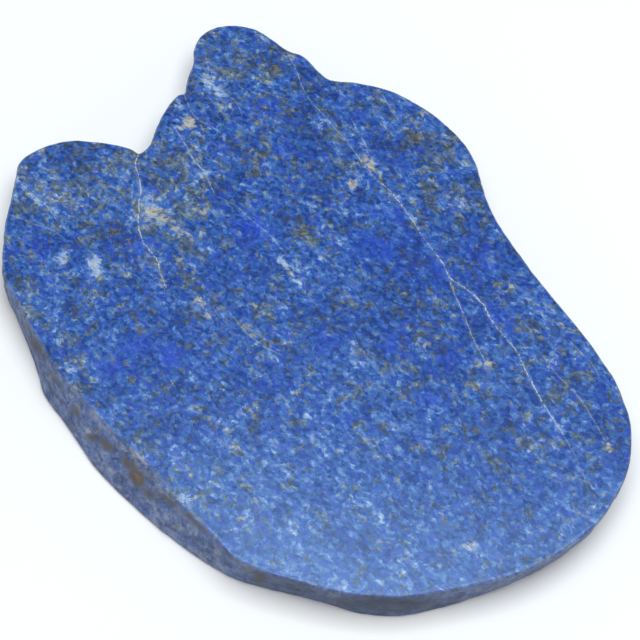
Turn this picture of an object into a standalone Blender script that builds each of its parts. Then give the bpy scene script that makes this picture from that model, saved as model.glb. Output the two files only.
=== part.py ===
"""A slab of lapis lazuli, sawn from one stone and polished on its upper face.

The slab is a single piece: a flat plate with a free, lobed outline.  Its upper
face is polished flat, its underside is sawn flat and the slab rests on it.
The edge between them is the stone's own weathered skin, so it leans outwards
along the lower left, runs almost upright at the front and tucks in under the
right side.  Both arrises are eased.

Frame: metres, +Z up.  The underside lies at z = 0.  X runs from left to right
and Y from the front edge to the tall lobe at the back.  The origin is the
middle of the bounding box, on the underside.
"""

import math

import bpy
from mathutils import Vector

# ------------------------------------------------------------------ dimensions
MM = 0.001

THICKNESS = 5.5 * MM        # underside to polished face
PERIMETER_POINTS = 280      # vertices round the slab, about 1 mm apart

# Easing of the two arrises: (height below the face, outset from the outline).
# The outline is the line where the polished face turns over into the edge.
TOP_EASING = [(0.00 * MM, -0.10 * MM), (0.07 * MM, 0.07 * MM), (0.25 * MM, 0.15 * MM)]
FOOT_EASING = [(0.35 * MM, 0.00 * MM), (0.10 * MM, -0.12 * MM), (0.00 * MM, -0.35 * MM)]

# Heights between the arrises where the edge has a vertex row of its own, as
# fractions of the way down from the upper arris to the foot.
EDGE_ROWS = [0.22, 0.46, 0.72]

EDGE_BELLY = 0.14 * MM      # how far the middle of the edge swells out
EDGE_RELIEF = 0.10 * MM     # height of the natural unevenness of the edge

# The outline, clockwise seen from above, as (x, y, lean) in millimetres.
# lean is how far the foot of the edge stands outside the rim there, and is
# negative where the edge tucks in underneath.
OUTLINE_MM = [
    # left side, going back towards the left lobe
    (-43.8, -2.6, -0.2),
    (-44.3, 0.8, -0.3),
    (-44.7, 4.2, -0.4),
    (-44.7, 7.8, -0.4),
    (-44.8, 11.4, -0.5),
    # rounded outer corner of the left lobe
    (-44.7, 14.9, -0.5),
    (-42.0, 18.0, -0.4),
    # back edge of the left lobe
    (-38.4, 19.8, -0.3),
    (-35.2, 20.2, -0.3),
    (-32.0, 20.2, -0.3),
    (-29.6, 19.8, -0.2),
    # notch between the two lobes
    (-28.3, 19.2, 0.0),
    (-27.0, 20.9, -0.1),
    # left flank of the tall lobe, with a small tooth half way
    (-26.6, 23.6, -0.3),
    (-26.0, 26.8, -0.4),
    (-25.2, 29.4, -0.4),
    (-24.2, 31.2, -0.3),
    (-23.5, 31.5, -0.3),
    (-23.4, 34.5, -0.4),
    (-23.0, 37.7, -0.5),
    (-23.3, 40.4, -0.5),
    # round head of the tall lobe
    (-22.8, 42.9, -0.6),
    (-21.1, 45.0, -0.6),
    (-18.2, 46.1, -0.7),
    (-14.9, 45.9, -0.7),
    (-12.3, 44.5, -0.6),
    # step in the shoulder of the tall lobe
    (-9.4, 42.6, -0.5),
    (-7.2, 42.0, -0.5),
    (-4.1, 39.1, -0.5),
    # valley behind the tall lobe
    (-2.5, 38.1, -0.4),
    (1.6, 38.2, -0.5),
    # broad right shoulder
    (6.2, 37.7, -0.7),
    (10.8, 35.8, -0.8),
    (14.9, 33.0, -0.8),
    (18.3, 29.6, -0.7),
    (20.3, 26.2, -0.6),
    # waist
    (22.2, 20.4, -0.4),
    (23.7, 17.0, -0.3),
    (26.1, 13.2, -0.3),
    (28.4, 10.0, -0.4),
    # long right flank
    (32.0, 5.3, -0.6),
    (35.8, 0.8, -0.7),
    (38.2, -2.2, -0.8),
    (40.3, -5.2, -0.8),
    # right end
    (42.3, -8.2, -0.9),
    (43.6, -11.3, -0.9),
    (44.6, -14.4, -0.9),
    (44.9, -17.5, -0.9),
    (44.8, -20.7, -0.9),
    (44.1, -23.9, -0.9),
    (42.8, -27.2, -0.9),
    (41.1, -30.5, -0.9),
    # front edge, right half
    (38.8, -33.4, -0.9),
    (35.8, -36.4, -1.0),
    (31.8, -39.4, -1.0),
    (28.3, -41.3, -0.8),
    (24.8, -42.8, -0.4),
    (20.8, -44.3, 0.0),
    # front edge, left half
    (16.1, -45.7, 0.2),
    (11.5, -46.2, 0.0),
    (6.7, -46.1, -0.6),
    (3.1, -45.6, -0.6),
    (-0.7, -45.0, -0.4),
    (-4.2, -44.1, 0.0),
    (-5.9, -43.3, 0.3),
    # lower left side, where the edge flares outwards
    (-7.7, -41.7, 1.1),
    (-9.9, -39.8, 1.8),
    (-12.4, -37.8, 2.2),
    (-14.6, -36.1, 2.5),
    (-17.0, -33.6, 3.2),
    (-20.1, -30.4, 3.8),
    (-23.8, -27.6, 3.5),
    (-26.7, -25.1, 2.9),
    (-29.7, -22.3, 2.4),
    (-33.2, -19.2, 1.9),
    (-35.5, -16.0, 1.2),
    (-38.2, -12.3, 0.5),
    (-41.1, -8.1, 0.1),
    (-42.9, -5.5, -0.1),
]

# Average look of the stone; its grain, veins and flecks are surface finish.
STONE_COLOUR = (0.062, 0.140, 0.385, 1.0)
STONE_ROUGHNESS = 0.22


# -------------------------------------------------------------------- outline
def spline_point(p0, p1, p2, p3, u):
    """Point at u (0 to 1) between p1 and p2 on a centripetal Catmull-Rom curve."""
    t0 = 0.0
    t1 = t0 + (p1 - p0).xy.length ** 0.5
    t2 = t1 + (p2 - p1).xy.length ** 0.5
    t3 = t2 + (p3 - p2).xy.length ** 0.5
    t = t1 + (t2 - t1) * u
    a1 = p0 * ((t1 - t) / (t1 - t0)) + p1 * ((t - t0) / (t1 - t0))
    a2 = p1 * ((t2 - t) / (t2 - t1)) + p2 * ((t - t1) / (t2 - t1))
    a3 = p2 * ((t3 - t) / (t3 - t2)) + p3 * ((t - t2) / (t3 - t2))
    b1 = a1 * ((t2 - t) / (t2 - t0)) + a2 * ((t - t0) / (t2 - t0))
    b2 = a2 * ((t3 - t) / (t3 - t1)) + a3 * ((t - t1) / (t3 - t1))
    return b1 * ((t2 - t) / (t2 - t1)) + b2 * ((t - t1) / (t2 - t1))


def outline(count):
    """The closed outline as count evenly spaced points (x, y, lean), in metres.

    The list above runs clockwise; the result runs anticlockwise from above.
    """
    knots = [Vector(k) * MM for k in reversed(OUTLINE_MM)]
    n = len(knots)
    dense = []
    for i in range(n):
        around = [knots[(i + k) % n] for k in (-1, 0, 1, 2)]
        dense += [spline_point(*around, j / 16) for j in range(16)]
    dense.append(dense[0])
    run = [0.0]
    for a, b in zip(dense, dense[1:]):
        run.append(run[-1] + (b - a).xy.length)
    points, k = [], 0
    for i in range(count):
        want = run[-1] * i / count
        while run[k + 1] < want:
            k += 1
        share = (want - run[k]) / (run[k + 1] - run[k])
        points.append(dense[k].lerp(dense[k + 1], share))
    return points


def outward_normals(points):
    """Unit vectors in the XY plane that point away from the slab."""
    n = len(points)
    found = []
    for i in range(n):
        along = points[(i + 1) % n] - points[i - 1]
        found.append(Vector((along.y, -along.x, 0.0)).normalized())
    return found


def relief(share_round, share_down):
    """Unevenness of the natural edge, from -1 to 1, at a place round and down it."""
    turn = 2.0 * math.pi * share_round
    waves = (
        0.45 * math.sin(9 * turn + 2.1 * share_down + 0.4)
        + 0.35 * math.sin(23 * turn - 3.3 * share_down + 1.9)
        + 0.20 * math.sin(47 * turn + 4.7 * share_down + 5.2)
    )
    return waves


# ------------------------------------------------------------------ the solid
def edge_rows():
    """Rows of the edge from the polished face down: (z, share down, outset)."""
    upper_z = THICKNESS - TOP_EASING[-1][0]
    foot_z = FOOT_EASING[0][0]
    rows = [(THICKNESS - drop, 0.0, out) for drop, out in TOP_EASING]
    for share in EDGE_ROWS:
        z = upper_z + (foot_z - upper_z) * share
        ease = TOP_EASING[-1][1] * (1.0 - share)
        rows.append((z, share, ease + EDGE_BELLY * math.sin(math.pi * share)))
    rows += [(z, 1.0, out) for z, out in FOOT_EASING]
    return rows


def slab_mesh():
    points = outline(PERIMETER_POINTS)
    normals = outward_normals(points)
    n = len(points)
    verts, rows = [], []
    for z, share, outset in edge_rows():
        row = []
        between = math.sin(math.pi * share)
        for i, (p, out) in enumerate(zip(points, normals)):
            push = p.z * share ** 0.9 + outset
            push += EDGE_RELIEF * between * relief(i / n, share)
            row.append(len(verts))
            verts.append((p.x + out.x * push, p.y + out.y * push, z))
        rows.append(row)

    # the origin goes to the middle of the bounding box
    xs = [v[0] for v in verts]
    ys = [v[1] for v in verts]
    mid_x = (min(xs) + max(xs)) / 2
    mid_y = (min(ys) + max(ys)) / 2
    verts = [(x - mid_x, y - mid_y, z) for x, y, z in verts]

    faces = [tuple(rows[0])]
    for upper, lower in zip(rows, rows[1:]):
        for i in range(n):
            j = (i + 1) % n
            faces.append((upper[i], lower[i], lower[j], upper[j]))
    faces.append(tuple(reversed(rows[-1])))
    mesh = bpy.data.meshes.new("lapis_slab")
    mesh.from_pydata(verts, [], faces)
    mesh.validate()
    mesh.update()
    mesh.shade_smooth()
    mesh.set_sharp_from_angle(angle=math.radians(32))
    return mesh


def stone_material():
    material = bpy.data.materials.new("lapis_stone")
    material.use_nodes = True
    shader = material.node_tree.nodes["Principled BSDF"]
    shader.inputs["Base Color"].default_value = STONE_COLOUR
    shader.inputs["Roughness"].default_value = STONE_ROUGHNESS
    shader.inputs["Metallic"].default_value = 0.0
    return material


def main():
    for ob in list(bpy.data.objects):
        bpy.data.objects.remove(ob, do_unlink=True)
    slab = bpy.data.objects.new("lapis_slab", slab_mesh())
    slab.data.materials.append(stone_material())
    bpy.context.scene.collection.objects.link(slab)


main()
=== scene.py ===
import math

import bpy
import numpy as np
from mathutils import Matrix, Vector, geometry, noise


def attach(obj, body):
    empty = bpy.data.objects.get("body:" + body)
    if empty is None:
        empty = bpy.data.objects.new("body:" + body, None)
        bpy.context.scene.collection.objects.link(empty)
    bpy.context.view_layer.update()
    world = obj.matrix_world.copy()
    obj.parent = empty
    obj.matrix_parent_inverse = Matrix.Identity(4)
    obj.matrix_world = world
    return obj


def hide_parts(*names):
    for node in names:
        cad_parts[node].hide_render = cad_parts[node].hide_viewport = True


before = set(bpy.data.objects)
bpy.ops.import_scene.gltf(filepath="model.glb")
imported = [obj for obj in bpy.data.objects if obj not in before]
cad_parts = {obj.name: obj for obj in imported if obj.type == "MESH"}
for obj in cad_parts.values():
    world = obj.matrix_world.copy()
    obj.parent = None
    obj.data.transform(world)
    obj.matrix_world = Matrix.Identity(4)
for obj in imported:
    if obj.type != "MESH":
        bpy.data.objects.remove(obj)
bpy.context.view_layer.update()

MM = 0.001

# ---------------------------------------------------------------------- camera
# Looking down on the polished face from the front, a little rolled.
VIEW_ELEVATION = 56.0       # degrees above the surface the slab lies on
VIEW_ROLL = 8.0             # degrees; the image's own down leans to the left
VIEW_DISTANCE = 300.0       # mm from the point looked at
VIEW_TARGET = (1.01, -1.41, 0.0)
VIEW_SCALE = 600.0 / 85.0   # pixels per mm at that point, in a 640 pixel frame
FRAME_PIXELS = 640.0

_e, _r = math.radians(VIEW_ELEVATION), math.radians(VIEW_ROLL)
CAM_FORWARD = np.array([0.0, math.cos(_e), -math.sin(_e)])
_right = np.array([1.0, 0.0, 0.0])
_up = np.cross(_right, CAM_FORWARD)
CAM_RIGHT = _right * math.cos(_r) + _up * math.sin(_r)
CAM_UP = -_right * math.sin(_r) + _up * math.cos(_r)
CAM_PLACE = np.array(VIEW_TARGET) - CAM_FORWARD * VIEW_DISTANCE
FOCAL_PIXELS = VIEW_SCALE * VIEW_DISTANCE


def on_plane(px, py, z):
    """Where the line of sight through an image point meets the height z, in mm."""
    ray = (CAM_FORWARD * FOCAL_PIXELS + CAM_RIGHT * (px - FRAME_PIXELS / 2)
           - CAM_UP * (py - FRAME_PIXELS / 2))
    return (CAM_PLACE + ray * (z - CAM_PLACE[2]) / ray[2])[:2]


def to_image(points):
    """Image places of points given in mm."""
    d = points - CAM_PLACE
    depth = d @ CAM_FORWARD
    return np.stack([FRAME_PIXELS / 2 + FOCAL_PIXELS * (d @ CAM_RIGHT) / depth,
                     FRAME_PIXELS / 2 - FOCAL_PIXELS * (d @ CAM_UP) / depth], 1)


def make_camera():
    data = bpy.data.cameras.new("view")
    data.sensor_width = 36.0
    data.lens = FOCAL_PIXELS * 36.0 / FRAME_PIXELS
    data.clip_start = 0.01
    data.clip_end = 50.0
    ob = bpy.data.objects.new("view", data)
    turn = Matrix((CAM_RIGHT, CAM_UP, -CAM_FORWARD)).transposed().to_4x4()
    ob.matrix_world = Matrix.Translation(Vector(CAM_PLACE) * MM) @ turn
    bpy.context.scene.collection.objects.link(ob)
    bpy.context.scene.camera = ob


make_camera()

# --------------------------------------------------------------------- outline
# The slab's outline, clockwise seen from above, as (x, y, lean) in mm, the same
# as the CAD solid's. lean is how far the foot stands outside the rim.
THICKNESS = 5.5
OUTLINE = [
    # left side, and the rounded corner of the left lobe
    (-43.8, -2.6, -0.2), (-44.3, 0.8, -0.3), (-44.7, 4.2, -0.4), (-44.7, 7.8, -0.4),
    (-44.8, 11.4, -0.5), (-44.7, 14.9, -0.5), (-42.0, 18.0, -0.4),
    # back edge of the left lobe, and the notch
    (-38.4, 19.8, -0.3), (-35.2, 20.2, -0.3), (-32.0, 20.2, -0.3), (-29.6, 19.8, -0.2),
    (-28.3, 19.2, 0.0), (-27.0, 20.9, -0.1),
    # left flank of the tall lobe
    (-26.6, 23.6, -0.3), (-26.0, 26.8, -0.4), (-25.2, 29.4, -0.4), (-24.2, 31.2, -0.3),
    (-23.5, 31.5, -0.3), (-23.4, 34.5, -0.4), (-23.0, 37.7, -0.5), (-23.3, 40.4, -0.5),
    # head of the tall lobe, with the step in its shoulder
    (-22.8, 42.9, -0.6), (-21.1, 45.0, -0.6), (-18.2, 46.1, -0.7), (-14.9, 45.9, -0.7),
    (-12.3, 44.5, -0.6), (-9.4, 42.6, -0.5), (-7.2, 42.0, -0.5), (-4.1, 39.1, -0.5),
    # valley and right shoulder
    (-2.5, 38.1, -0.4), (1.6, 38.2, -0.5), (6.2, 37.7, -0.7), (10.8, 35.8, -0.8),
    (14.9, 33.0, -0.8), (18.3, 29.6, -0.7), (20.3, 26.2, -0.6),
    # waist and long right flank
    (22.2, 20.4, -0.4), (23.7, 17.0, -0.3), (26.1, 13.2, -0.3), (28.4, 10.0, -0.4),
    (32.0, 5.3, -0.6), (35.8, 0.8, -0.7), (38.2, -2.2, -0.8), (40.3, -5.2, -0.8),
    # right end
    (42.3, -8.2, -0.9), (43.6, -11.3, -0.9), (44.6, -14.4, -0.9), (44.9, -17.5, -0.9),
    (44.8, -20.7, -0.9), (44.1, -23.9, -0.9), (42.8, -27.2, -0.9), (41.1, -30.5, -0.9),
    # front edge
    (38.8, -33.4, -0.9), (35.8, -36.4, -1.0), (31.8, -39.4, -1.0), (28.3, -41.3, -0.8),
    (24.8, -42.8, -0.4), (20.8, -44.3, 0.0), (16.1, -45.7, 0.2), (11.5, -46.2, 0.0),
    (6.7, -46.1, -0.6), (3.1, -45.6, -0.6), (-0.7, -45.0, -0.4), (-4.2, -44.1, 0.0),
    (-5.9, -43.3, 0.3),
    # lower left side, where the edge flares outwards
    (-7.7, -41.7, 1.1), (-9.9, -39.8, 1.8), (-12.4, -37.8, 2.2), (-14.6, -36.1, 2.5),
    (-17.0, -33.6, 3.2), (-20.1, -30.4, 3.8), (-23.8, -27.6, 3.5), (-26.7, -25.1, 2.9),
    (-29.7, -22.3, 2.4), (-33.2, -19.2, 1.9), (-35.5, -16.0, 1.2), (-38.2, -12.3, 0.5),
    (-41.1, -8.1, 0.1), (-42.9, -5.5, -0.1),
]
BOX_SHIFT = (-0.003, 0.039)   # from the outline's numbers to the CAD's own origin

ROUND = 760                   # vertices round the slab, about 0.38 mm apart
TOP_CELL = 0.50               # spacing of the polished face's vertices, mm
FOOT_CELL = 0.95              # spacing of the underside's


def spline(knots, steps):
    """Centripetal Catmull-Rom curve round closed knots."""
    k = np.asarray(knots, float)
    n = len(k)
    out = []
    for i in range(n):
        p = [k[(i + j) % n] for j in (-1, 0, 1, 2)]
        t = [0.0]
        for a, b in zip(p, p[1:]):
            t.append(t[-1] + math.hypot(*(b - a)[:2]) ** 0.5)
        for j in range(steps):
            u = t[1] + (t[2] - t[1]) * j / steps
            a = [p[m] * (t[m + 1] - u) / (t[m + 1] - t[m]) + p[m + 1] * (u - t[m]) / (t[m + 1] - t[m])
                 for m in range(3)]
            b = [a[m] * (t[m + 2] - u) / (t[m + 2] - t[m]) + a[m + 1] * (u - t[m]) / (t[m + 2] - t[m])
                 for m in range(2)]
            out.append(b[0] * (t[2] - u) / (t[2] - t[1]) + b[1] * (u - t[1]) / (t[2] - t[1]))
    return np.array(out)


def outline(count):
    """Evenly spaced points (x, y, lean), anticlockwise from above, and their outward normals."""
    dense = spline(OUTLINE[::-1], 24)
    dense = np.vstack([dense, dense[:1]])
    run = np.r_[0, np.cumsum(np.linalg.norm(np.diff(dense[:, :2], axis=0), axis=1))]
    want = run[-1] * np.arange(count) / count
    pts = np.stack([np.interp(want, run, dense[:, i]) for i in range(3)], 1)
    pts[:, 0] += BOX_SHIFT[0]
    pts[:, 1] += BOX_SHIFT[1]
    along = np.roll(pts, -1, 0)[:, :2] - np.roll(pts, 1, 0)[:, :2]
    along /= np.linalg.norm(along, axis=1)[:, None]
    return pts, np.stack([along[:, 1], -along[:, 0]], 1), run[-1]


def fractal(x, y, z, scale, octaves=4, gain=0.5, seed=0.0):
    """Fractal noise, about -1 to 1, at a place in mm."""
    v = Vector((x * scale + seed, y * scale - 1.7 * seed, z * scale + 0.3 * seed))
    total, amp, norm = 0.0, 1.0, 0.0
    for _ in range(octaves):
        total += amp * noise.noise(v)
        norm += amp
        v = v * 2.03 + Vector((11.3, 5.1, 7.7))
        amp *= gain
    return 1.9 * total / norm


# --------------------------------------------------------------- slab geometry
def smooth(a, b, v):
    t = np.clip((v - a) / (b - a), 0, 1)
    return t * t * (3 - 2 * t)


def wall_rows():
    """Rows of the edge from the rim down: (drop below the face, share down, outset), in mm."""
    rows = [(0.0, 0.0, -0.13), (0.015, 0.0, -0.05), (0.045, 0.0, 0.02), (0.095, 0.0, 0.08),
            (0.165, 0.0, 0.125), (0.25, 0.0, 0.15)]
    foot = THICKNESS - 0.35
    steps = 20
    for i in range(1, steps):
        share = i / steps
        drop = 0.25 + (foot - 0.25) * share
        rows.append((drop, share, 0.15 * (1 - share) + 0.14 * math.sin(math.pi * share)))
    rows += [(foot, 1.0, 0.0), (THICKNESS - 0.22, 1.0, -0.04), (THICKNESS - 0.11, 1.0, -0.12),
             (THICKNESS - 0.04, 1.0, -0.22), (THICKNESS, 1.0, -0.36)]
    return rows


def wall_relief(share_round, share_down):
    """The broad unevenness of the edge, as on the CAD solid."""
    turn = 2 * math.pi * share_round
    return (0.45 * math.sin(9 * turn + 2.1 * share_down + 0.4)
            + 0.35 * math.sin(23 * turn - 3.3 * share_down + 1.9)
            + 0.20 * math.sin(47 * turn + 4.7 * share_down + 5.2))


def fill(loop, cell, seed):
    """Triangles over a flat closed loop, with even inner points: (points, triangles).

    The loop's own points come first and in order.
    """
    rng = np.random.default_rng(seed)
    lo, hi = loop.min(0) - cell, loop.max(0) + cell
    xs = np.arange(lo[0], hi[0], cell)
    ys = np.arange(lo[1], hi[1], cell * 0.866)
    gx, gy = np.meshgrid(xs, ys)
    gx[1::2] += cell / 2
    pts = np.stack([gx.ravel(), gy.ravel()], 1)
    pts += rng.uniform(-0.12, 0.12, pts.shape) * cell
    # inside test, and distance to the loop
    a, b = loop, np.roll(loop, -1, 0)
    inside = np.zeros(len(pts), bool)
    near = np.full(len(pts), 1e9)
    for p, q in zip(a, b):
        crosses = (p[1] > pts[:, 1]) != (q[1] > pts[:, 1])
        if q[1] != p[1]:
            at = p[0] + (pts[:, 1] - p[1]) * (q[0] - p[0]) / (q[1] - p[1])
            inside ^= crosses & (pts[:, 0] < at)
        d = q - p
        t = np.clip(((pts - p) @ d) / (d @ d), 0, 1)
        near = np.minimum(near, np.hypot(pts[:, 0] - p[0] - t * d[0], pts[:, 1] - p[1] - t * d[1]))
    pts = pts[inside & (near > cell * 0.55)]
    everything = np.vstack([loop, pts])
    n = len(loop)
    edges = [(i, (i + 1) % n) for i in range(n)]
    out = geometry.delaunay_2d_cdt([Vector(p) for p in everything], edges, [], 1, 1e-7)
    assert len(out[0]) == len(everything)
    order = [o[0] for o in out[3]]
    found = np.array([tuple(v) for v in out[0]])
    place = np.empty(len(everything), int)
    place[:] = order
    back = np.empty_like(place)
    back[place] = np.arange(len(place))
    tris = [tuple(int(place[v]) for v in f) for f in out[2]]
    good = []
    for t in tris:
        p, q, r = (everything[v] for v in t)
        area = (q[0] - p[0]) * (r[1] - p[1]) - (q[1] - p[1]) * (r[0] - p[0])
        good.append(t if area > 0 else (t[0], t[2], t[1]))
    return everything, good


def slab_arrays():
    pts, nrm, perimeter = outline(ROUND)
    rows = wall_rows()
    verts, share_of = [], []
    for k, (drop, share, outset) in enumerate(rows):
        z = THICKNESS - drop
        between = math.sin(math.pi * share)
        flank = 1.0 if 0 < share < 1 else 0.0
        for i in range(ROUND):
            x, y, lean = pts[i]
            u = i / ROUND
            push = lean * share ** 0.9 + outset + 0.10 * between * wall_relief(u, share)
            # small-scale wander of the whole outline, and nicks along the rim
            push += 0.055 * fractal(x, y, 0.0, 0.55, 3, 0.6, 3.1)
            if drop < 0.3:
                nick = fractal(x, y, z * 0.5, 0.9, 3, 0.6, 9.4)
                push -= 0.16 * max(0.0, nick - 0.42)
            # weathered skin: shallow hollows, ribs and grain
            if flank:
                edge = min(1.0, 5.0 * share, 5.0 * (1 - share))
                push += edge * 0.16 * fractal(x, y, z * 1.1, 0.42, 4, 0.55, 1.3)
                push += edge * 0.055 * fractal(x, y, z * 1.6, 1.7, 3, 0.6, 6.2)
                pit = fractal(x, y, z, 0.85, 2, 0.5, 21.0)
                push -= edge * 0.22 * max(0.0, pit - 0.38)
            verts.append((x + nrm[i, 0] * push, y + nrm[i, 1] * push, z))
            share_of.append(0.0 if k == 0 else (1.0 if k < len(rows) - 1 else 0.0))
    verts = np.array(verts)
    kind = np.array(share_of)          # 1 on the edge, 0 on the two faces
    faces = []
    for k in range(len(rows) - 1):
        a, b = k * ROUND, (k + 1) * ROUND
        for i in range(ROUND):
            j = (i + 1) % ROUND
            faces.append((a + i, b + i, b + j, a + j))
    # polished face
    top, tris = fill(verts[:ROUND, :2], TOP_CELL, 5)
    base = len(verts)
    inner = top[ROUND:]
    verts = np.vstack([verts, np.c_[inner, np.full(len(inner), THICKNESS)]])
    kind = np.r_[kind, np.zeros(len(inner))]
    faces += [tuple(v if v < ROUND else base + v - ROUND for v in t) for t in tris]
    top_ids = np.arange(base, len(verts))
    # underside
    last = (len(rows) - 1) * ROUND
    foot, tris = fill(verts[last:last + ROUND, :2], FOOT_CELL, 8)
    base = len(verts)
    inner = foot[ROUND:]
    verts = np.vstack([verts, np.c_[inner, np.zeros(len(inner))]])
    kind = np.r_[kind, np.zeros(len(inner))]
    faces += [tuple((last + v if v < ROUND else base + v - ROUND) for v in reversed(t)) for t in tris]
    foot_ids = np.r_[np.arange(last, last + ROUND), np.arange(base, len(verts))]
    return verts, kind, faces, top_ids, foot_ids


verts, kind, faces, top_ids, foot_ids = slab_arrays()

# polish leaves the face very slightly uneven: broad dips, and shallow pits
for i in top_ids:
    x, y, z = verts[i]
    dip = 0.010 * (fractal(x, y, 0.0, 0.16, 2, 0.5, 4.4) - 1.0)
    pit = fractal(x, y, 0.0, 0.8, 2, 0.5, 31.0)
    verts[i, 2] = z + dip - 0.06 * max(0.0, pit - 0.62)

# ------------------------------------------------------------------- markings
# Places are points of the 640 x 640 image, carried onto the polished face.
# Soft patches: (x, y, half length, half width, turn in degrees, strength).
PALE = [      # calcite, pale blue-white
    (96, 266, 14, 6, 82, 1.00), (92, 258, 5, 9, 0, 0.6), (61, 255, 8, 7, 0, 0.75), (66, 220, 6, 5, 0, 0.60),
    (16, 180, 7, 4, 60, 0.55), (34, 196, 14, 4, 40, 0.55), (62, 226, 9, 4, 10, 0.5),
    (205, 174, 6, 5, 0, 0.85), (208, 80, 10, 6, 30, 0.60), (220, 90, 7, 5, 0, 0.70),
    (178, 106, 8, 6, 60, 0.60), (226, 108, 6, 4, 0, 0.60), (284, 263, 15, 4, 40, 1.00),
    (296, 280, 10, 3, 45, 0.55), (318, 124, 11, 7, 20, 0.45), (366, 149, 6, 4, 40, 0.65),
    (385, 125, 8, 6, 0, 0.45), (461, 205, 7, 5, 0, 0.60), (110, 310, 5, 4, 0, 0.80),
    (57, 342, 6, 5, 0, 0.55), (70, 372, 10, 8, 0, 0.45), (252, 190, 10, 5, 30, 0.45),
    (310, 205, 9, 5, 0, 0.35), (330, 238, 8, 6, 0, 0.45), (342, 243, 7, 4, 0, 0.45),
    (548, 362, 7, 6, 0, 0.60), (532, 445, 14, 10, 0, 0.40), (528, 420, 10, 8, 0, 0.40),
    (184, 498, 9, 5, 0, 0.80), (216, 446, 5, 4, 0, 0.60), (180, 452, 6, 6, 0, 0.45),
    (225, 385, 9, 6, 0, 0.40), (280, 447, 8, 6, 0, 0.40), (308, 418, 6, 4, 0, 0.45),
    (561, 534, 13, 4, 85, 0.50), (470, 500, 12, 6, 20, 0.20), (289, 527, 13, 6, 0, 0.45),
    (285, 572, 9, 4, 0, 0.55), (235, 530, 12, 6, 0, 0.40), (360, 363, 13, 4, 5, 0.55),
    (352, 345, 8, 10, 0, 0.30), (150, 205, 14, 18, 0, 0.35), (125, 175, 14, 8, 20, 0.25),
    (498, 232, 10, 3, 55, 0.45), (487, 210, 9, 4, 60, 0.40), (390, 196, 10, 6, 40, 0.25),
]
CREAM = [     # calcite with a tan cast
    (151, 212, 7, 7, 0, 0.95), (164, 218, 8, 4, 10, 0.75), (176, 229, 8, 4, 40, 0.80),
    (189, 123, 6, 7, 0, 1.10), (178, 128, 9, 2, 0, 0.60), (203, 211, 5, 7, 80, 0.60),
    (187, 234, 8, 3, 35, 0.55), (220, 212, 12, 3, 20, 0.40), (372, 166, 4, 8, 15, 0.90),
    (352, 184, 5, 6, 0, 0.65), (365, 160, 5, 4, 0, 0.65), (292, 58, 5, 8, 45, 0.45),
    (160, 262, 4, 6, 0, 0.45), (163, 285, 4, 8, 0, 0.50), (199, 300, 6, 5, 0, 0.75),
    (208, 316, 6, 3, 45, 0.60), (180, 262, 5, 4, 0, 0.40), (485, 363, 4, 11, 90, 0.55),
    (608, 445, 9, 3, 65, 0.60), (470, 545, 8, 8, 0, 0.40), (402, 558, 7, 6, 0, 0.45),
    (436, 566, 6, 4, 0, 0.35), (235, 446, 7, 5, 0, 0.50), (398, 544, 6, 6, 0, 0.25),
    (20, 172, 9, 3, 40, 0.45), (262, 312, 12, 3, 40, 0.35), (425, 110, 8, 6, 0, 0.35),
    (405, 128, 8, 4, 0, 0.40), (289, 342, 6, 8, 0, 0.35), (425, 345, 5, 4, 0, 0.40),
    (250, 333, 12, 3, 45, 0.45), (438, 300, 6, 5, 0, 0.30), (403, 296, 5, 4, 0, 0.35),
]
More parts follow.
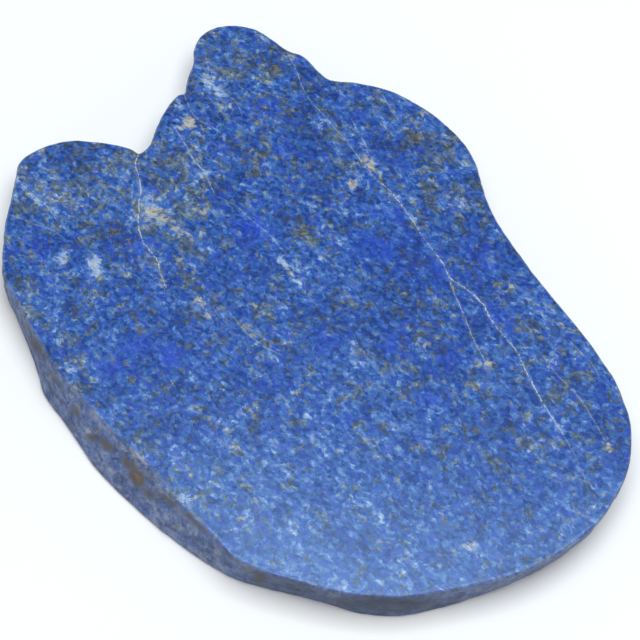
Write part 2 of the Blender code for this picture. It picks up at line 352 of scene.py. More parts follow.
OLIVE = [     # brown and olive grains, pyrite among them
    (276, 70, 10, 5, 0, 1.00), (87, 225, 9, 4, 10, 0.85), (114, 231, 10, 6, 20, 0.75),
    (96, 238, 7, 4, 0, 0.50), (130, 150, 10, 4, 10, 0.60), (90, 147, 10, 3, 0, 0.60),
    (260, 155, 8, 5, 0, 0.90), (254, 172, 5, 6, 0, 0.75), (170, 162, 15, 7, 0, 0.80),
    (305, 231, 9, 6, 0, 1.00), (240, 289, 5, 3, 0, 1.00), (205, 208, 8, 7, 0, 0.60),
    (178, 182, 7, 5, 0, 0.55), (310, 163, 8, 5, 0, 0.70), (318, 203, 5, 4, 0, 0.80),
    (302, 217, 4, 4, 0, 0.80), (297, 202, 4, 3, 0, 0.60), (432, 198, 6, 12, 0, 0.85),
    (420, 224, 8, 6, 0, 0.70), (416, 136, 8, 6, 0, 0.80), (444, 150, 10, 7, 0, 0.50),
    (380, 178, 7, 4, 40, 0.60), (462, 190, 8, 10, 0, 0.35), (290, 112, 5, 5, 0, 0.55),
    (262, 118, 14, 6, 0, 0.35), (330, 135, 12, 6, 0, 0.40), (246, 205, 9, 5, 40, 0.55),
    (165, 270, 10, 4, 30, 0.60), (190, 285, 14, 5, 30, 0.60), (215, 300, 12, 5, 30, 0.45),
    (150, 325, 20, 7, 0, 0.35), (70, 335, 14, 8, 0, 0.45), (131, 379, 8, 5, 0, 0.80),
    (159, 373, 9, 6, 0, 0.70), (182, 343, 8, 4, 0, 0.60), (225, 322, 9, 6, 30, 0.55),
    (268, 340, 10, 6, 30, 0.45), (104, 405, 6, 5, 0, 0.50), (440, 310, 8, 5, 0, 0.65),
    (428, 292, 9, 4, 0, 0.40), (500, 285, 9, 5, 0, 0.70), (472, 385, 7, 5, 0, 0.75),
    (522, 373, 7, 9, 0, 0.65), (569, 391, 9, 3, 40, 0.70), (590, 375, 6, 6, 0, 0.50),
    (359, 424, 7, 4, 0, 0.95), (345, 400, 9, 6, 0, 0.60), (383, 430, 4, 4, 0, 0.80),
    (418, 447, 7, 5, 0, 0.85), (448, 452, 9, 6, 0, 0.70), (472, 430, 8, 6, 0, 0.75),
    (500, 463, 8, 7, 0, 0.75), (290, 415, 9, 9, 0, 0.50), (300, 425, 7, 6, 0, 0.60),
    (258, 415, 7, 5, 0, 0.60), (212, 480, 10, 6, 0, 0.60), (248, 490, 9, 8, 0, 0.50),
    (236, 506, 8, 6, 0, 0.40), (194, 430, 6, 5, 0, 0.50), (510, 520, 10, 5, 0, 0.55),
    (590, 455, 7, 6, 0, 0.50), (560, 445, 7, 5, 0, 0.35), (402, 350, 7, 10, 0, 0.35),
    (425, 330, 7, 7, 0, 0.45), (341, 302, 8, 4, 0, 0.35), (357, 345, 4, 10, 0, 0.35),
    (240, 455, 8, 6, 0, 0.45), (395, 505, 8, 5, 0, 0.25), (550, 395, 6, 5, 0, 0.40),
]
DEEP = [      # clear, strongly blue lazurite
    (170, 357, 9, 8, 0, 1.00), (252, 228, 18, 10, 20, 0.80), (262, 108, 14, 8, 0, 0.60),
    (380, 250, 30, 14, 30, 0.45), (395, 215, 16, 8, 30, 0.40), (480, 258, 22, 10, 40, 0.40),
    (140, 345, 16, 8, 0, 0.55), (115, 365, 14, 8, 0, 0.50), (395, 345, 14, 10, 0, 0.55),
    (330, 340, 14, 8, 0, 0.45), (450, 358, 10, 10, 0, 0.60), (345, 420, 12, 6, 0, 0.35),
    (280, 150, 12, 6, 0, 0.45), (150, 190, 6, 10, 0, 0.35), (40, 245, 12, 12, 0, 0.50),
    (135, 248, 12, 10, 0, 0.45), (215, 375, 12, 6, 0, 0.35), (430, 400, 16, 8, 0, 0.40),
    (400, 155, 12, 8, 0, 0.35), (222, 190, 10, 8, 0, 0.45), (600, 395, 10, 10, 0, 0.35),
    (500, 320, 20, 8, 40, 0.40), (440, 270, 18, 10, 30, 0.40), (270, 385, 14, 6, 0, 0.35),
]
HAZY = [      # zones where the blue is broken up with grey and pale grains
    (235, 70, 42, 34, 0, 0.75), (75, 190, 60, 34, 10, 0.75), (170, 200, 45, 50, 0, 0.70),
    (90, 270, 40, 18, 0, 0.30), (440, 160, 30, 34, 0, 0.40), (310, 160, 60, 30, 20, 0.20),
    (60, 345, 34, 22, 30, 0.35), (540, 440, 45, 30, 0, 0.30), (205, 480, 60, 40, 20, 0.25),
    (340, 140, 60, 25, 20, 0.20), (300, 420, 60, 30, 0, 0.20),
]

CLEAR = [     # zones with few dark grains
    (340, 470, 150, 70, 0, 1.0), (300, 555, 150, 45, 0, 1.0), (165, 350, 70, 36, 0, 0.8),
    (520, 500, 80, 60, 0, 0.8), (250, 235, 40, 26, 20, 0.6), (400, 255, 60, 30, 30, 0.4),
]

DIM = [       # zones of darker blue
    (448, 300, 62, 50, 0, 1.0), (285, 372, 80, 46, 0, 0.75), (395, 430, 70, 40, 0, 0.60),
    (265, 122, 40, 16, 10, 0.50), (365, 255, 44, 30, 30, 0.70), (125, 365, 60, 24, 20, 0.60),
    (330, 190, 50, 20, 20, 0.45), (400, 150, 30, 24, 0, 0.50), (60, 160, 36, 14, 0, 0.35),
    (590, 420, 34, 40, 0, 0.40), (130, 245, 30, 22, 0, 0.45), (500, 470, 60, 30, 0, 0.30),
]

# Veins: ((image points), half width in mm at start, middle, end, strength, tan share).
VEINS = {
    "vein_a": [
        (((286, 50), (296, 69), (302, 86), (310, 100), (320, 111), (334, 127), (347, 141), (361, 161),
          (375, 178)), 0.05, 0.08, 0.10, 0.62, 0.25),
        (((375, 178), (391, 192), (408, 214), (426, 241), (440, 259), (451, 278), (465, 288), (483, 304),
          (491, 320), (506, 338), (518, 353), (524, 367), (532, 383), (546, 408), (558, 426), (565, 438),
          (574, 453), (578, 462)), 0.11, 0.14, 0.06, 1.0, 0.30),
        (((139, 150), (137, 158), (135, 165), (138, 174), (140, 183), (141, 192), (139, 202), (139, 212),
          (138, 222), (140, 232), (144, 243), (152, 253), (158, 262), (160, 272), (164, 282), (165, 292)),
         0.12, 0.13, 0.07, 1.0, 0.55),
    ],
    "vein_b": [
        (((448, 272), (451, 285), (460, 306), (466, 320), (473, 338), (483, 357), (488, 370)),
         0.07, 0.11, 0.05, 0.75, 0.45),
        (((172, 124), (182, 139), (192, 157), (204, 172), (211, 186), (216, 196)), 0.06, 0.09, 0.06, 0.85, 0.3),
        (((192, 66), (206, 80), (220, 90), (236, 102), (243, 118)), 0.06, 0.09, 0.04, 0.6, 0.3),
        (((14, 176), (26, 188), (37, 198), (47, 206), (58, 222)), 0.08, 0.09, 0.05, 0.65, 0.35),
    ],
    "vein_c": [
        (((352, 120), (358, 131), (363, 140), (368, 149)), 0.05, 0.09, 0.05, 0.8, 0.2),
        (((216, 196), (235, 205), (247, 216), (262, 228), (273, 238), (284, 252)), 0.05, 0.08, 0.05, 0.6, 0.3),
        (((184, 94), (190, 108), (196, 118), (214, 128), (226, 138)), 0.05, 0.08, 0.04, 0.6, 0.3),
        (((540, 352), (553, 370), (565, 383), (581, 400), (596, 424), (608, 446)), 0.05, 0.08, 0.05, 0.5, 0.5),
        (((12, 214), (24, 220), (40, 226), (54, 231), (66, 240)), 0.05, 0.07, 0.04, 0.5, 0.3),
    ],
    "vein_d": [
        (((383, 95), (388, 104), (394, 114), (400, 122)), 0.05, 0.07, 0.04, 0.55, 0.2),
        (((569, 340), (580, 352), (592, 364), (600, 378)), 0.05, 0.07, 0.04, 0.5, 0.2),
        (((280, 256), (292, 274), (306, 292), (318, 308)), 0.05, 0.07, 0.03, 0.5, 0.2),
        (((230, 312), (244, 330), (262, 345), (284, 356)), 0.05, 0.08, 0.04, 0.5, 0.6),
        (((208, 96), (222, 112), (238, 124), (250, 132)), 0.05, 0.07, 0.03, 0.5, 0.2),
        (((195, 292), (203, 306), (212, 320)), 0.06, 0.10, 0.05, 0.7, 0.6),
    ],
}
VEIN_DIP = (0.35, 0.55)       # sideways run of the veins per mm of depth

# Stains, pale rubs and painted shade on the visible edge: (x, y, half length, half width, turn, strength).
RUST = [
    (137, 478, 10, 6, 60, 1.45), (128, 462, 12, 6, 50, 0.95), (106, 444, 14, 6, 40, 0.85),
    (92, 438, 7, 5, 40, 0.80), (148, 494, 9, 5, 45, 0.80), (168, 500, 14, 4, 40, 0.80),
    (195, 522, 22, 3, 42, 0.75), (228, 553, 18, 3, 45, 0.65), (260, 578, 7, 7, 0, 0.95),
    (345, 600, 10, 4, 10, 0.40), (412, 603, 10, 5, 0, 0.45), (36, 345, 10, 5, 65, 0.85), (55, 380, 10, 5, 60, 0.55), (76, 412, 10, 5, 50, 0.60),
    (28, 325, 10, 4, 70, 0.35), (480, 592, 12, 3, -15, 0.30), (143, 462, 5, 4, 40, 0.35),
    (250, 570, 5, 6, 0, 0.45),
]
RUB = [
    (140, 458, 16, 3, 42, 0.75), (88, 431, 3, 3, 0, 0.9), (110, 470, 5, 4, 0, 0.40),
    (124, 448, 8, 3, 40, 0.45), (20, 305, 5, 4, 60, 0.35), (50, 377, 5, 4, 0, 0.35),
    (66, 400, 6, 5, 0, 0.35), (190, 532, 10, 5, 40, 0.30), (217, 553, 10, 4, 40, 0.35),
]
# painted shade: the front of the edge coloured darker where it lies in shade
EDGE_PAINTED_SHADE = [     # painted shade: darker patches, mostly along the front of the edge
    (385, 604, 85, 12, 0, 1.0), (295, 588, 45, 9, 14, 0.80), (170, 508, 30, 4, 42, 0.25),
    (520, 580, 40, 5, -25, 0.55), (40, 352, 16, 6, 62, 0.50), (222, 557, 20, 3, 45, 0.30),
]


def patches(xy, listing, power=1.0):
    """Sum of soft patches at places xy in mm on the polished face."""
    total = np.zeros(len(xy))
    for px, py, a, b, turn, strength in listing:
        centre = on_plane(px, py, THICKNESS)
        t = math.radians(turn)
        ends = [on_plane(px + a * math.cos(t), py + a * math.sin(t), THICKNESS),
                on_plane(px - b * math.sin(t), py + b * math.cos(t), THICKNESS)]
        frame2 = np.stack([ends[0] - centre, ends[1] - centre], 1)
        inv = np.linalg.inv(frame2)
        d = (xy - centre) @ inv.T
        r2 = (d * d).sum(1)
        total = np.maximum(total, strength * np.exp(-0.9 * r2)) + 0.25 * np.minimum(
            total, strength * np.exp(-0.9 * r2))
    return total


def image_patches(at, listing):
    """The same in the plane of the image, for the upright edge."""
    total = np.zeros(len(at))
    for px, py, a, b, turn, strength in listing:
        t = math.radians(turn)
        u = ((at[:, 0] - px) * math.cos(t) + (at[:, 1] - py) * math.sin(t)) / a
        v = (-(at[:, 0] - px) * math.sin(t) + (at[:, 1] - py) * math.cos(t)) / b
        total = np.maximum(total, strength * np.exp(-0.9 * (u * u + v * v)))
    return total


def open_curve(points, step=0.25):
    """Smooth open curve through points in mm, evenly resampled."""
    p = np.asarray(points, float)
    p = np.vstack([2 * p[0] - p[1], p, 2 * p[-1] - p[-2]])
    out = []
    for i in range(1, len(p) - 2):
        for j in range(8):
            t = j / 8
            out.append(0.5 * (2 * p[i] + (p[i + 1] - p[i - 1]) * t
                              + (2 * p[i - 1] - 5 * p[i] + 4 * p[i + 1] - p[i + 2]) * t * t
                              + (3 * p[i] - p[i - 1] - 3 * p[i + 1] + p[i + 2]) * t ** 3))
    out.append(p[-2])
    out = np.array(out)
    run = np.r_[0, np.cumsum(np.linalg.norm(np.diff(out, axis=0), axis=1))]
    want = np.linspace(0, run[-1], max(4, int(run[-1] / step)))
    return np.stack([np.interp(want, run, out[:, k]) for k in range(2)], 1), run[-1]


def vein_field(points, veins):
    """Per vertex: signed distance over half width, strength and tan share of the nearest vein."""
    depth = THICKNESS - points[:, 2]
    xy = points[:, :2] + depth[:, None] * np.array(VEIN_DIP)
    best = np.full(len(xy), 1e9)
    found = np.zeros((len(xy), 3))
    found[:, 0] = 30.0
    for image_points, w0, w1, w2, strength, tan in veins:
        line, length = open_curve([on_plane(x, y, THICKNESS) for x, y in image_points])
        a, ab = line[:-1], np.diff(line, axis=0)
        lo, hi = line.min(0) - 2.5, line.max(0) + 2.5
        ids = np.nonzero(((xy > lo) & (xy < hi)).all(1))[0]
        if not len(ids):
            continue
        q = xy[ids]
        dist = np.full(len(q), 1e9)
        sign = np.zeros(len(q))
        along = np.zeros(len(q))
        over = np.zeros(len(q))
        for k in range(len(a)):
            d = q - a[k]
            l2 = ab[k] @ ab[k]
            raw = (d @ ab[k]) / l2
            t = np.clip(raw, 0, 1)
            e = d - t[:, None] * ab[k]
            r = np.hypot(e[:, 0], e[:, 1])
            nearer = r < dist
            dist[nearer] = r[nearer]
            sign[nearer] = np.sign(ab[k][0] * d[:, 1] - ab[k][1] * d[:, 0])[nearer]
            along[nearer] = ((k + t) / len(a))[nearer]
            past = np.zeros(len(q))
            if k == 0:
                past = np.maximum(past, -raw * math.sqrt(l2))
            if k == len(a) - 1:
                past = np.maximum(past, (raw - 1) * math.sqrt(l2))
            over[nearer] = past[nearer]
        width = np.interp(along, (0, 0.5, 1), (w0, w1, w2))
        fade = smooth(0, 0.06, along) * 0.3 + 0.7
        fade *= smooth(1.0, 0.90, along) * 0.75 + 0.25
        fade *= smooth(0.5, 0.0, over) * smooth(2.2, 1.2, dist)
        take = dist < best[ids]
        where = ids[take]
        best[where] = dist[take]
        found[where, 0] = (sign * dist / width)[take]
        found[where, 1] = (strength * fade)[take]
        found[where, 2] = tan
    return found


mesh = bpy.data.meshes.new("lapis_slab_stone")
mesh.from_pydata([tuple(v) for v in verts * MM], [], faces)
mesh.update()
mesh.validate()


def store(name, values):
    values = np.ascontiguousarray(values, np.float32)
    kind_ = "FLOAT" if values.ndim == 1 else "FLOAT_VECTOR"
    attribute = mesh.attributes.new(name, kind_, "POINT")
    attribute.data.foreach_set("value" if values.ndim == 1 else "vector", values.ravel())


near_top = np.exp(-((THICKNESS - verts[:, 2]) / 1.3) ** 2)
store("stone_light", np.stack([patches(verts[:, :2], PALE) * near_top,
                               patches(verts[:, :2], CREAM) * near_top,
                               patches(verts[:, :2], HAZY) * near_top], 1))
store("stone_dark", np.stack([patches(verts[:, :2], OLIVE) * near_top,
                              patches(verts[:, :2], DEEP) * near_top,
                              kind], 1))
store("stone_zone", np.stack([patches(verts[:, :2], CLEAR), patches(verts[:, :2], DIM), 0 * kind], 1))
for name, veins in VEINS.items():
    store(name, vein_field(verts, veins))

# stains, rubs and painted shade on the edge, where the front of it faces the camera
normals = np.empty(len(mesh.vertices) * 3)
mesh.vertices.foreach_get("normal", normals)
normals = normals.reshape(-1, 3)
facing = smooth(0.0, 0.25, ((CAM_PLACE - verts) * normals).sum(1)
                / np.linalg.norm(CAM_PLACE - verts, axis=1)) * kind
at = to_image(verts)
elsewhere = kind * (1 - facing)
rust = image_patches(at, RUST) * facing
rub = image_patches(at, RUB) * facing
# third channel: painted shade where the edge faces the camera, darker film from noise elsewhere
film_and_painted_shade = image_patches(at, EDGE_PAINTED_SHADE) * facing
for i in np.nonzero(elsewhere > 0.02)[0]:
    x, y, z = verts[i]
    rust[i] += elsewhere[i] * 0.9 * max(0.0, fractal(x, y, 2.0 * z, 0.16, 3, 0.55, 12.0) - 0.22)
    rub[i] += elsewhere[i] * 0.8 * max(0.0, fractal(x, y, 2.0 * z, 0.22, 3, 0.55, 17.0) - 0.30)
    film_and_painted_shade[i] += elsewhere[i] * 0.7 * max(0.0, fractal(x, y, z, 0.10, 2, 0.5, 23.0))
store("skin", np.stack([rust, rub, film_and_painted_shade], 1))

slab = bpy.data.objects.new("lapis_slab_stone", mesh)
bpy.context.scene.collection.objects.link(slab)
mesh.shade_smooth()


# ------------------------------------------------------------------- materials
class Graph:
    """Short names for building a shader node tree."""

    def __init__(self, name):
        self.material = bpy.data.materials.new(name)
        self.material.use_nodes = True
        self.tree = self.material.node_tree
        self.shader = self.tree.nodes["Principled BSDF"]

    def put(self, socket, value):
        if isinstance(value, bpy.types.NodeSocket):
            self.tree.links.new(value, socket)
        elif value is not None:
            if isinstance(value, (tuple, list)) and len(value) == 3 and socket.type == "RGBA":
                value = (*value, 1.0)
            socket.default_value = value

    def new(self, kind_, **settings):
        node = self.tree.nodes.new(kind_)
        for key, value in settings.items():
            setattr(node, key, value)
        return node

    def math(self, operation, a, b=None, c=None, clamp=False):
        node = self.new("ShaderNodeMath", operation=operation, use_clamp=clamp)
        for socket, value in zip(node.inputs, (a, b, c)):
            self.put(socket, value)
        return node.outputs[0]

    def add(self, *terms):
        total = terms[0]
        for term in terms[1:]:
            total = self.math("ADD", total, term)
        return total

    def mul(self, a, b):
        return self.math("MULTIPLY", a, b)

    def sub(self, a, b):
        return self.math("SUBTRACT", a, b)

    def vector(self, operation, a, b=None, scale=None):
        node = self.new("ShaderNodeVectorMath", operation=operation)
        self.put(node.inputs[0], a)
        if b is not None:
            self.put(node.inputs[1], b)
        if scale is not None:
            self.put(node.inputs["Scale"], scale)
        return node.outputs[0] if operation not in ("LENGTH", "DOT_PRODUCT") else node.outputs[1]

    def ramp(self, value, low, high):
        """0 below low, 1 above high, smooth between."""
        node = self.new("ShaderNodeMapRange", interpolation_type="SMOOTHSTEP")
        self.put(node.inputs["Value"], value)
        self.put(node.inputs["From Min"], low)
        self.put(node.inputs["From Max"], high)
        return node.outputs["Result"]

    def noise(self, place, scale, detail=3.0, rough=0.55, warp=0.0, colour=False):
        node = self.new("ShaderNodeTexNoise")
        node.noise_dimensions = "3D"
        self.put(node.inputs["Vector"], place)
        node.inputs["Scale"].default_value = scale
        node.inputs["Detail"].default_value = detail
        node.inputs["Roughness"].default_value = rough
        node.inputs["Distortion"].default_value = warp
        return node.outputs["Color" if colour else "Fac"]

    def cells(self, place, scale, feature="F1", randomness=1.0, smoothness=None):
        node = self.new("ShaderNodeTexVoronoi", feature=feature)
        self.put(node.inputs["Vector"], place)
        node.inputs["Scale"].default_value = scale
        node.inputs["Randomness"].default_value = randomness
        if smoothness is not None:
            node.inputs["Smoothness"].default_value = smoothness
        return node.outputs

    def split(self, value):
        node = self.new("ShaderNodeSeparateXYZ")
        self.put(node.inputs[0], value)
        return node.outputs

    def blend(self, share, a, b, mode="MIX"):
        node = self.new("ShaderNodeMix", data_type="RGBA", blend_type=mode)
        self.put(node.inputs["Factor"], share)
        self.put(node.inputs[6], a)
        self.put(node.inputs[7], b)
        return node.outputs[2]

    def colours(self, value, stops, interpolation="LINEAR"):
        node = self.new("ShaderNodeValToRGB")
        band = node.color_ramp
        band.interpolation = interpolation
        while len(band.elements) < len(stops):
            band.elements.new(0.5)
        for element, (at_, colour) in zip(band.elements, stops):
            element.position = at_
            element.color = (*colour, 1.0)
        self.put(node.inputs[0], value)
        return node.outputs[0]

    def attribute(self, name):
        node = self.new("ShaderNodeAttribute", attribute_name=name, attribute_type="GEOMETRY")
        return node.outputs["Vector"]

    def offset(self, place, shift):
        return self.vector("ADD", place, shift)


def stone_material():
    g = Graph("lapis_stone")
    place = g.new("ShaderNodeTexCoord").outputs["Object"]
    place = g.vector("SCALE", place, scale=1000.0)                       # mm
    # the grain is drawn out a little along the stone's own fabric
    turned = g.new("ShaderNodeVectorRotate", rotation_type="EULER_XYZ")
    g.put(turned.inputs["Vector"], place)
    turned.inputs["Rotation"].default_value = (math.radians(12), math.radians(-8), math.radians(36))
    fabric = g.vector("MULTIPLY", turned.outputs[0], (0.92, 1.08, 1.0))
    sway = g.noise(fabric, 0.30, 1.0, 0.5, colour=True)
    sway = g.vector("SUBTRACT", sway, (0.5, 0.5, 0.5))
    fabric = g.vector("ADD", fabric, g.vector("SCALE", sway, scale=1.0))
    ragged = g.noise(place, 1.8, 1.0, 0.5, colour=True)
    ragged = g.vector("SUBTRACT", ragged, (0.5, 0.5, 0.5))
    grain_at = g.vector("ADD", fabric, g.vector("SCALE", ragged, scale=0.42))

    light = g.split(g.attribute("stone_light"))
    dark = g.split(g.attribute("stone_dark"))
    pale_at, cream_at, hazy_at = light[0], light[1], light[2]
    olive_at, deep_at, edge = dark[0], dark[1], dark[2]

    zone = g.split(g.attribute("stone_zone"))
    clear_at, dim_at = zone[0], zone[1]

    # grains
    cell = g.cells(grain_at, 1.45)
    cell_hue = g.split(cell["Color"])
    small = g.cells(g.offset(grain_at, (7.3, 2.1, 4.4)), 2.4)
    small_hue = g.split(small["Color"])
    broad = g.noise(g.offset(fabric, (3.0, 9.0, 1.0)), 0.13, 3.0, 0.5)
    cloud = g.noise(g.offset(fabric, (13.0, 2.0, 6.0)), 0.42, 3.0, 0.55)
    fine = g.noise(g.offset(fabric, (1.0, 5.0, 8.0)), 1.05, 2.5, 0.55)
    micro = g.noise(place, 5.5, 2.0, 0.6)

    tone = g.add(
        0.375,
        g.mul(g.sub(cell_hue[0], 0.5), 0.44),
        g.mul(g.sub(small_hue[0], 0.5), 0.34),
        g.mul(g.sub(fine, 0.5), 1.05),
        g.mul(g.sub(cloud, 0.5), 0.90),
        g.mul(g.sub(broad, 0.5), 0.70),
        g.mul(g.sub(micro, 0.5), 0.20),
        g.mul(hazy_at, 0.16),
        g.mul(pale_at, 0.42),
        g.mul(cream_at, 0.30),
        g.mul(clear_at, 0.045),
        g.mul(dim_at, -0.085),
        g.mul(deep_at, -0.20),
    )
    blue = g.colours(tone, [
        (0.00, (0.005, 0.034, 0.190)),
        (0.22, (0.010, 0.055, 0.275)),
        (0.42, (0.022, 0.097, 0.370)),
        (0.58, (0.050, 0.148, 0.435)),
        (0.74, (0.118, 0.220, 0.480)),
        (0.88, (0.204, 0.330, 0.560)),
        (1.00, (0.350, 0.480, 0.650)),
    ])
    # some grains lean towards violet, others towards green
    violet = g.mul(g.ramp(g.add(cell_hue[2], g.mul(g.sub(cloud, 0.5), 0.8)), 0.62, 0.86), 0.55)
    blue = g.blend(violet, blue, (0.026, 0.062, 0.430))
    greenish = g.mul(g.ramp(g.add(small_hue[1], g.mul(g.sub(cloud, 0.5), -0.8)), 0.70, 0.92), 0.40)
    blue = g.blend(greenish, blue, (0.075, 0.160, 0.290))
    # clear lazurite keeps its blue
    clear_share = g.math("MULTIPLY", deep_at, g.add(0.15, g.mul(small_hue[0], 0.6), g.mul(cell_hue[1], 0.5)), clamp=True)
    blue = g.blend(clear_share, blue, (0.019, 0.062, 0.580))

    # grey and olive grains between the blue ones
    cloud2 = g.noise(g.offset(fabric, (31.0, 17.0, 3.0)), 0.36, 3.0, 0.6)
    fine2 = g.noise(g.offset(fabric, (21.0, 7.0, 13.0)), 1.0, 3.0, 0.58)
    olive_field = g.add(
        g.mul(cell_hue[1], 0.26),
        g.mul(small_hue[1], 0.14),
        g.mul(g.sub(fine2, 0.5), 1.60),
        g.mul(g.sub(cloud2, 0.5), 1.55),
        g.mul(olive_at, 0.52),
        g.mul(clear_at, -0.17),
        g.mul(hazy_at, 0.24),
        g.mul(cream_at, 0.10),
        g.mul(deep_at, -0.25),
        0.03,
    )
    olive = g.ramp(olive_field, 0.27, 0.50)
    olive_tone = g.add(g.mul(g.sub(tone, 0.4), 0.9), g.mul(g.sub(small_hue[2], 0.5), 0.35), 0.42)
    olive_colour = g.colours(olive_tone, [
        (0.00, (0.020, 0.034, 0.068)),
        (0.30, (0.045, 0.070, 0.100)),
        (0.55, (0.098, 0.132, 0.150)),
        (0.78, (0.190, 0.220, 0.200)),
        (1.00, (0.360, 0.360, 0.290)),
    ])
    base = g.blend(g.mul(olive, 0.80), blue, olive_colour)

    # brown pyrite-bearing grains
    flake_at = g.vector("ADD", fabric, g.vector("SCALE", ragged, scale=0.9))
    flake = g.cells(g.offset(flake_at, (17.0, 3.0, 9.0)), 1.9)
    flake_hue = g.split(flake["Color"])
    cluster = g.noise(g.offset(fabric, (41.0, 11.0, 5.0)), 0.30, 3.0, 0.6)
    brown_field = g.add(
        g.mul(flake_hue[0], 0.26),
        g.mul(g.sub(cluster, 0.5), 1.00),
        g.mul(olive_at, 0.54),
        g.mul(clear_at, -0.11),
        g.mul(g.sub(fine2, 0.5), 0.9),
        g.mul(g.sub(micro, 0.5), 0.9),
        g.mul(flake["Distance"], -0.20),
    )
    brown = g.ramp(brown_field, 0.36, 0.63)
    brown_colour = g.colours(g.add(flake_hue[1], g.mul(g.sub(micro, 0.5), 0.6)), [
        (0.0, (0.058, 0.055, 0.040)),
        (0.4, (0.118, 0.108, 0.070)),
        (0.75, (0.205, 0.175, 0.105)),
        (1.0, (0.330, 0.270, 0.160)),
    ])
    base = g.blend(g.mul(brown, 0.78), base, brown_colour)

    # pale calcite grains and patches
    speck = g.cells(g.offset(grain_at, (5.0, 23.0, 2.0)), 2.1)
    speck_hue = g.split(speck["Color"])
    pale_field = g.add(
        g.mul(speck_hue[0], 0.40),
        g.mul(g.sub(fine, 0.5), 1.2),
        g.mul(g.sub(cloud, 0.5), 0.7),
        g.mul(pale_at, 0.95),
        g.mul(hazy_at, 0.10),
        g.mul(speck["Distance"], -0.25),
        g.mul(g.sub(micro, 0.5), 0.8),
        g.mul(deep_at, -0.3),
    )
    pale = g.ramp(pale_field, 0.46, 0.86)
    pale_colour = g.blend(g.ramp(speck_hue[1], 0.35, 0.9), (0.300, 0.420, 0.660), (0.480, 0.540, 0.600))
    base = g.blend(g.mul(pale, 0.68), base, pale_colour)

    cream_field = g.add(
        g.mul(cream_at, 1.3),
        g.mul(g.sub(fine, 0.5), 0.9),
        g.mul(g.sub(fine2, 0.5), 0.8),
        g.mul(g.sub(micro, 0.5), 0.8),
        g.mul(g.sub(speck_hue[2], 0.5), 0.65),
    )
    cream = g.ramp(cream_field, 0.30, 1.00)
    cream_colour = g.colours(g.add(g.mul(small_hue[1], 0.6), g.mul(speck_hue[0], 0.4)), [
        (0.15, (0.230, 0.215, 0.170)),
        (0.45, (0.400, 0.370, 0.300)),
        (0.70, (0.520, 0.490, 0.430)),
        (0.90, (0.450, 0.490, 0.560)),
    ])
    base = g.blend(g.mul(cream, 0.88), base, cream_colour)

    # veins
    vein_total = None
    tremble = g.mul(g.sub(g.noise(place, 1.9, 3.0, 0.65), 0.5), 5.0)
    gaps = g.ramp(g.noise(place, 1.7, 2.0, 0.7), 0.36, 0.60)
    for name in VEINS:
        part_ = g.split(g.attribute(name))
        off = g.math("ABSOLUTE", g.add(part_[0], tremble))
        line = g.ramp(off, 1.05, 0.10)
        halo = g.mul(g.ramp(off, 5.0, 0.5), 0.14)
        strength = g.mul(part_[1], g.add(g.mul(gaps, 0.88), 0.12))
        mask = g.mul(g.math("MAXIMUM", line, halo), strength)
        colour = g.blend(part_[2], (0.480, 0.570, 0.640), (0.560, 0.560, 0.510))
        base = g.blend(mask, base, colour)
        vein_total = mask if vein_total is None else g.math("MAXIMUM", vein_total, mask)

    # weathered skin of the edge: greyer, with rust, rubs and darker films, and painted shade on its front
    skin = g.split(g.attribute("skin"))
    skin_noise = g.noise(g.vector("MULTIPLY", place, (1.0, 1.0, 1.6)), 0.55, 4.0, 0.62)
    skin_fine = g.noise(place, 2.4, 3.0, 0.65)
    film = g.colours(g.add(g.mul(g.sub(skin_noise, 0.5), 1.9), g.mul(g.sub(skin_fine, 0.5), 1.5), g.mul(g.sub(cell_hue[0], 0.5), 0.35), 0.47), [
        (0.0, (0.050, 0.062, 0.100)),
        (0.35, (0.108, 0.140, 0.232)),
        (0.65, (0.185, 0.225, 0.350)),
        (1.0, (0.320, 0.335, 0.380)),
    ])
    worn = g.blend(g.add(0.64, g.mul(g.sub(skin_noise, 0.5), 0.8)), base, film)
    rust_field = g.add(skin[0], g.mul(g.sub(skin_noise, 0.5), 1.2), g.mul(g.sub(skin_fine, 0.5), 1.1))
    rust_mask = g.ramp(rust_field, 0.08, 0.95)
    rust_colour = g.blend(g.ramp(rust_field, 1.05, 1.60), (0.088, 0.075, 0.062), (0.230, 0.105, 0.036))
    worn = g.blend(g.mul(rust_mask, 0.9), worn, rust_colour)
    rub_mask = g.ramp(g.add(skin[1], g.mul(g.sub(skin_fine, 0.5), 1.1)), 0.18, 0.90)
    worn = g.blend(g.mul(rub_mask, 0.75), worn, (0.430, 0.420, 0.460))
    # painted shade on the front of the edge, darker film elsewhere
    worn = g.blend(g.mul(skin[2], 0.85), worn, (0.026, 0.036, 0.058))
    base = g.blend(edge, base, worn)

    # underside: sawn and left dull
    height = g.split(place)[2]
    under = g.mul(g.ramp(height, 0.06, 0.0), g.sub(1.0, edge))
    saw = g.new("ShaderNodeTexWave", wave_type="BANDS", bands_direction="X", wave_profile="SIN")
    g.put(saw.inputs["Vector"], g.vector("ADD", turned.outputs[0], g.vector("SCALE", sway, scale=0.8)))
    saw.inputs["Scale"].default_value = 0.55
    saw.inputs["Distortion"].default_value = 1.2
    saw.inputs["Detail"].default_value = 3.0
    saw_line = saw.outputs["Fac"]
    dull = g.blend(0.32, base, (0.190, 0.230, 0.330))
    dull = g.blend(g.mul(saw_line, 0.12), dull, (0.330, 0.370, 0.450))
    base = g.blend(under, base, dull)
    g.put(g.shader.inputs["Base Color"], base)

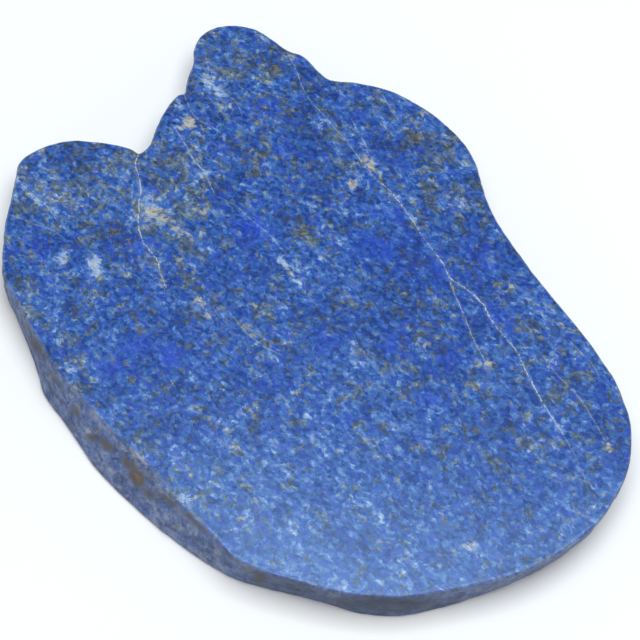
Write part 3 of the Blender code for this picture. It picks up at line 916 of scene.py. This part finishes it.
    # polish: glassy blue, duller calcite, brighter pyrite
    rough = g.add(
        0.205,
        g.mul(g.sub(fine, 0.5), 0.10),
        g.mul(pale, 0.06),
        g.mul(vein_total, 0.12),
        g.mul(olive, 0.03),
    )
    rough = g.add(g.mul(rough, g.sub(1.0, edge)), g.mul(edge, g.add(0.66, g.mul(g.sub(skin_fine, 0.5), 0.25))))
    rough = g.add(g.mul(rough, g.sub(1.0, under)), g.mul(under, 0.52))
    g.put(g.shader.inputs["Roughness"], rough)
    glint = g.mul(g.mul(brown, g.ramp(flake_hue[2], 0.35, 0.8)), g.sub(1.0, edge))
    g.put(g.shader.inputs["Metallic"], g.mul(glint, 0.55))
    g.shader.inputs["IOR"].default_value = 1.50

    # relief finer than the mesh
    relief = g.add(
        g.mul(g.sub(fine, 0.5), 0.35),
        g.mul(pale, -0.25),
        g.mul(vein_total, -0.55),
        g.mul(brown, 0.22),
        g.mul(g.mul(edge, skin_fine), 5.0),
        g.mul(g.mul(edge, g.noise(place, 6.0, 3.0, 0.7)), 3.0),
        g.mul(g.mul(under, saw_line), 1.2),
    )
    bump = g.new("ShaderNodeBump")
    bump.inputs["Strength"].default_value = 0.6
    bump.inputs["Distance"].default_value = 0.00002
    g.put(bump.inputs["Height"], relief)
    g.put(g.shader.inputs["Normal"], bump.outputs[0])
    return g.material


mesh.materials.append(stone_material())
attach(slab, "root")
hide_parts("lapis_slab")


# ----------------------------------------------------------------------- stage
def floor_material():
    g = Graph("pale_floor")
    place = g.new("ShaderNodeTexCoord").outputs["Object"]
    tint = g.noise(place, 3.0, 2.0, 0.5)
    g.put(g.shader.inputs["Base Color"], g.colours(tint, [(0.3, (0.965, 0.925, 0.895)), (0.7, (0.975, 0.935, 0.905))]))
    g.shader.inputs["Roughness"].default_value = 0.75
    g.shader.inputs["Specular IOR Level"].default_value = 0.2
    return g.material


def make_floor():
    data = bpy.data.meshes.new("floor")
    side, z = 0.42, -0.00005
    data.from_pydata([(-side, -side, z), (side, -side, z), (side, side, z), (-side, side, z)], [], [(0, 1, 2, 3)])
    data.materials.append(floor_material())
    ob = bpy.data.objects.new("floor", data)
    bpy.context.scene.collection.objects.link(ob)


def area_light(name, place, toward, size, radiance, colour):
    """A soft box of the given size and radiance, aimed at a point."""
    data = bpy.data.lights.new(name, "AREA")
    data.shape = "RECTANGLE"
    data.size, data.size_y = size
    data.energy = radiance * math.pi * size[0] * size[1]
    data.color = colour
    ob = bpy.data.objects.new(name, data)
    ob.location = place
    aim = Vector(toward) - Vector(place)
    ob.rotation_euler = aim.to_track_quat("-Z", "Y").to_euler()
    bpy.context.scene.collection.objects.link(ob)
    return ob


def make_lights():
    area_light("overhead", (0.04, -0.045, 0.60), (0.04, -0.045, 0.0), (0.62, 0.53), 3.25, (0.90, 0.97, 1.0))
    area_light("sky_strip", (0.10, 0.238, 0.595), (0.10, 0.0, 0.0), (0.40, 0.08), 5.9, (0.55, 0.83, 1.0))
    world = bpy.data.worlds.new("surround")
    world.use_nodes = True
    tree = world.node_tree
    back = tree.nodes["Background"]
    coord = tree.nodes.new("ShaderNodeTexCoord")
    parts = tree.nodes.new("ShaderNodeSeparateXYZ")
    band = tree.nodes.new("ShaderNodeValToRGB")
    tree.links.new(coord.outputs["Generated"], parts.inputs[0])
    tree.links.new(parts.outputs["Z"], band.inputs[0])
    stops = [(0.0, (0.95, 0.95, 0.95)), (0.18, (0.92, 0.93, 0.94)), (0.50, (0.26, 0.27, 0.29)), (1.0, (0.22, 0.23, 0.25))]
    while len(band.color_ramp.elements) < len(stops):
        band.color_ramp.elements.new(0.5)
    for element, (at_, colour) in zip(band.color_ramp.elements, stops):
        element.position = at_
        element.color = (*colour, 1.0)
    tree.links.new(band.outputs[0], back.inputs["Color"])
    back.inputs["Strength"].default_value = 1.0
    bpy.context.scene.world = world


make_floor()
make_lights()
scene = bpy.context.scene
scene.view_settings.view_transform = "Standard"
scene.view_settings.look = "None"
scene.view_settings.exposure = 0.0
scene.view_settings.gamma = 1.0
